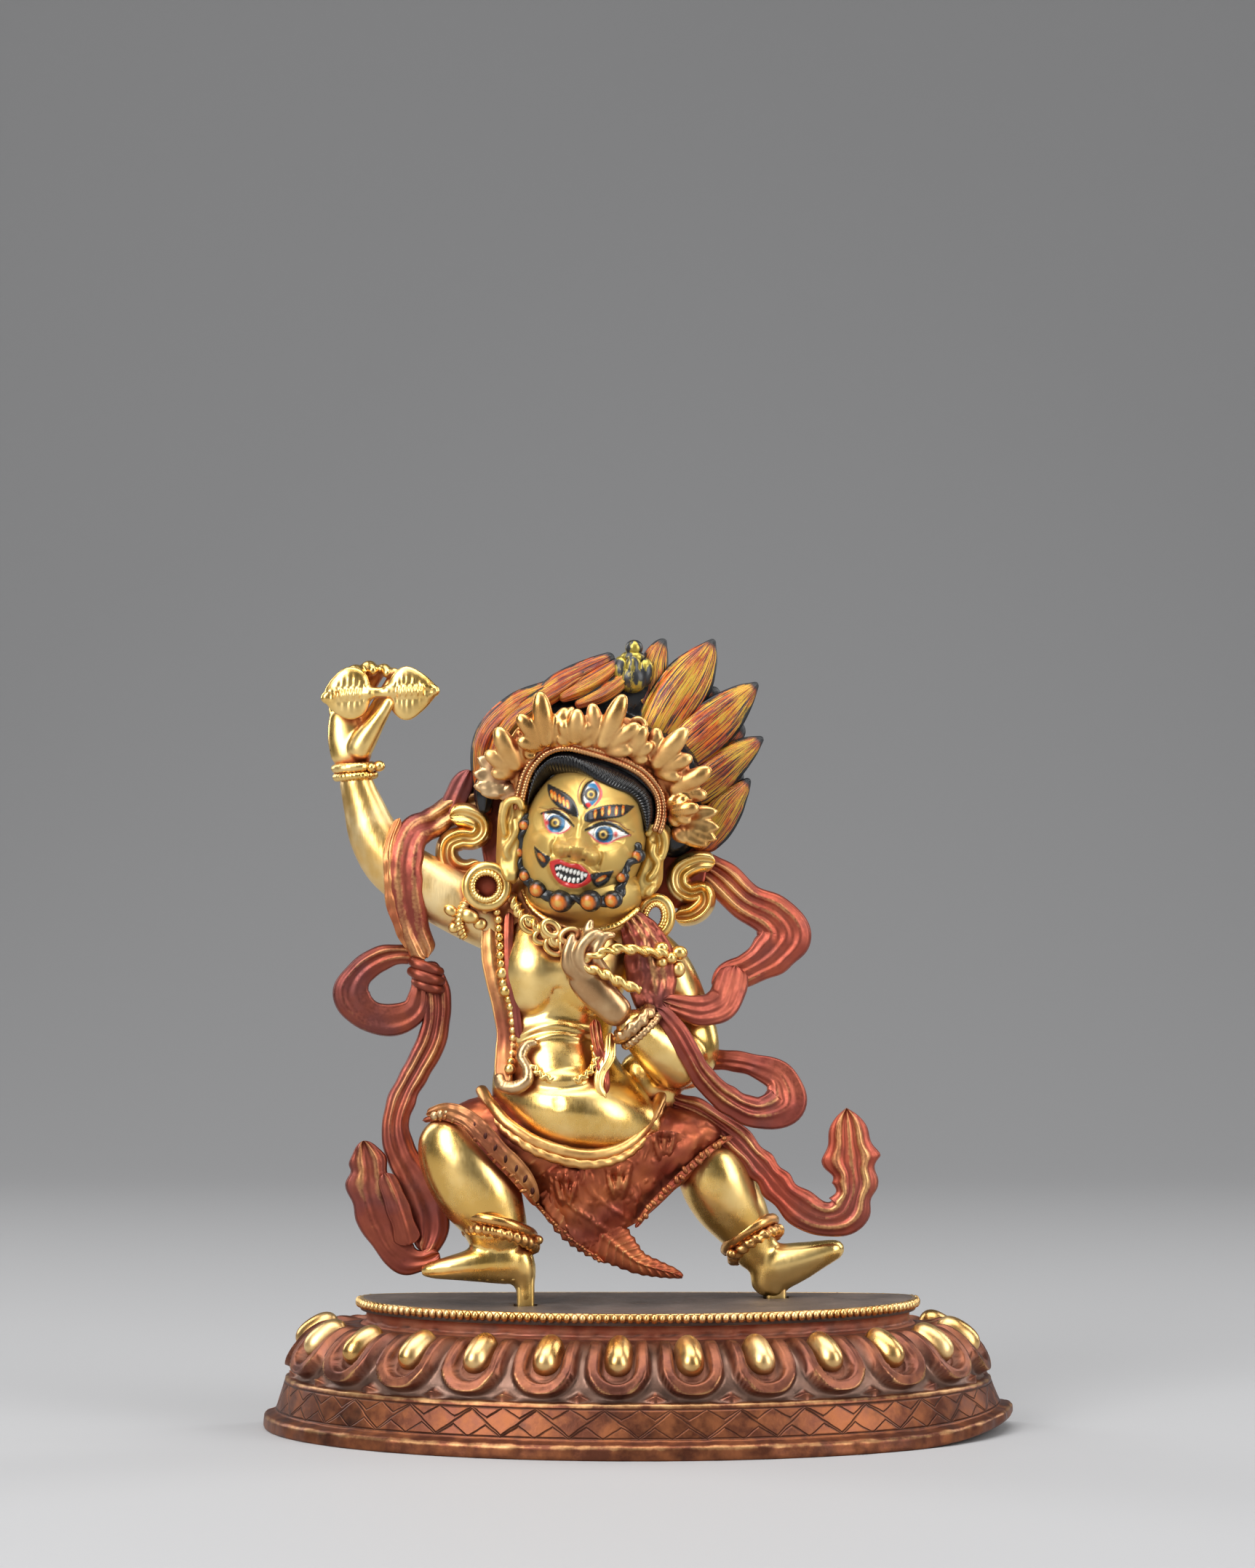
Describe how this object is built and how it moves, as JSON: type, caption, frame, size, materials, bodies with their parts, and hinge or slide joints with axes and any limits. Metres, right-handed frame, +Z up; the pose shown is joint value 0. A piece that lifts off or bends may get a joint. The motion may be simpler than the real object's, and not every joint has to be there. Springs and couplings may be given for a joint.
{
  "type": "deity statue",
  "caption": "Small gilt copper statue of a striding wrathful guardian with raised vajra, long scarf and flaming hair, on a separate lotus base.",
  "frame": {"origin": "middle of the lotus base's footprint, on the surface that it stands on", "axes": "+Z up, the figure faces -Y, +X to the viewer's right, across the length of the base"},
  "size_m": [0.1106, 0.0482, 0.1161],
  "materials": {
    "gilding": "polished fire gilding with copper-red residue, painted face and hair",
    "patina": "worn brown-red copper patina with gilt petal bosses and beads"
  },
  "bodies": {
    "root": {"figure": "gilding", "lotus_base": "patina"}
  },
  "joints": []
}
